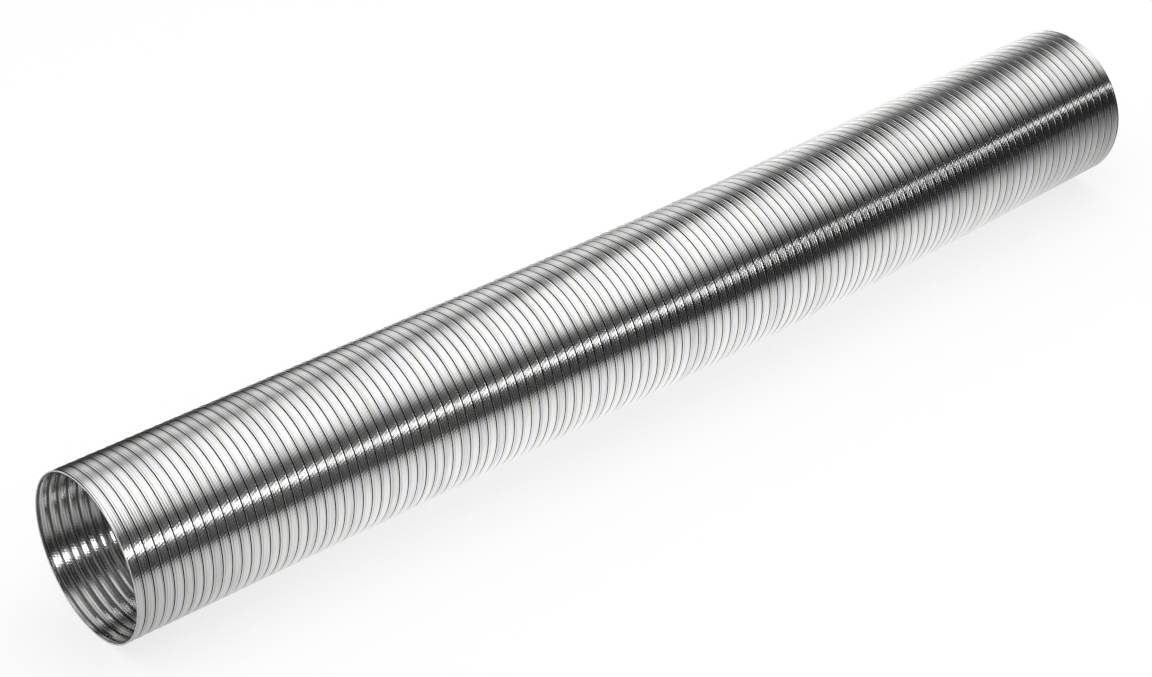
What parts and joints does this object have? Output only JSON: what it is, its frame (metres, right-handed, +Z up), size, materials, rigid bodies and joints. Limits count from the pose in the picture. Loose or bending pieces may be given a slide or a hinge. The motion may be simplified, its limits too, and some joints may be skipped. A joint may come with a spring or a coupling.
{
  "type": "flexible aluminium duct",
  "caption": "Round spiral-wound aluminium duct, pushed together for delivery, open at both ends, with one slight bend.",
  "frame": {"origin": "middle of the duct's footprint on the floor it lies on", "axes": "+X from the near mouth to the far mouth, +Y to the side the duct bends to, +Z up"},
  "size_m": [0.8024, 0.1206, 0.1028],
  "materials": {
    "aluminium": "bright rolled foil, finely corrugated"
  },
  "bodies": {
    "root": {"duct": "aluminium"}
  },
  "joints": []
}
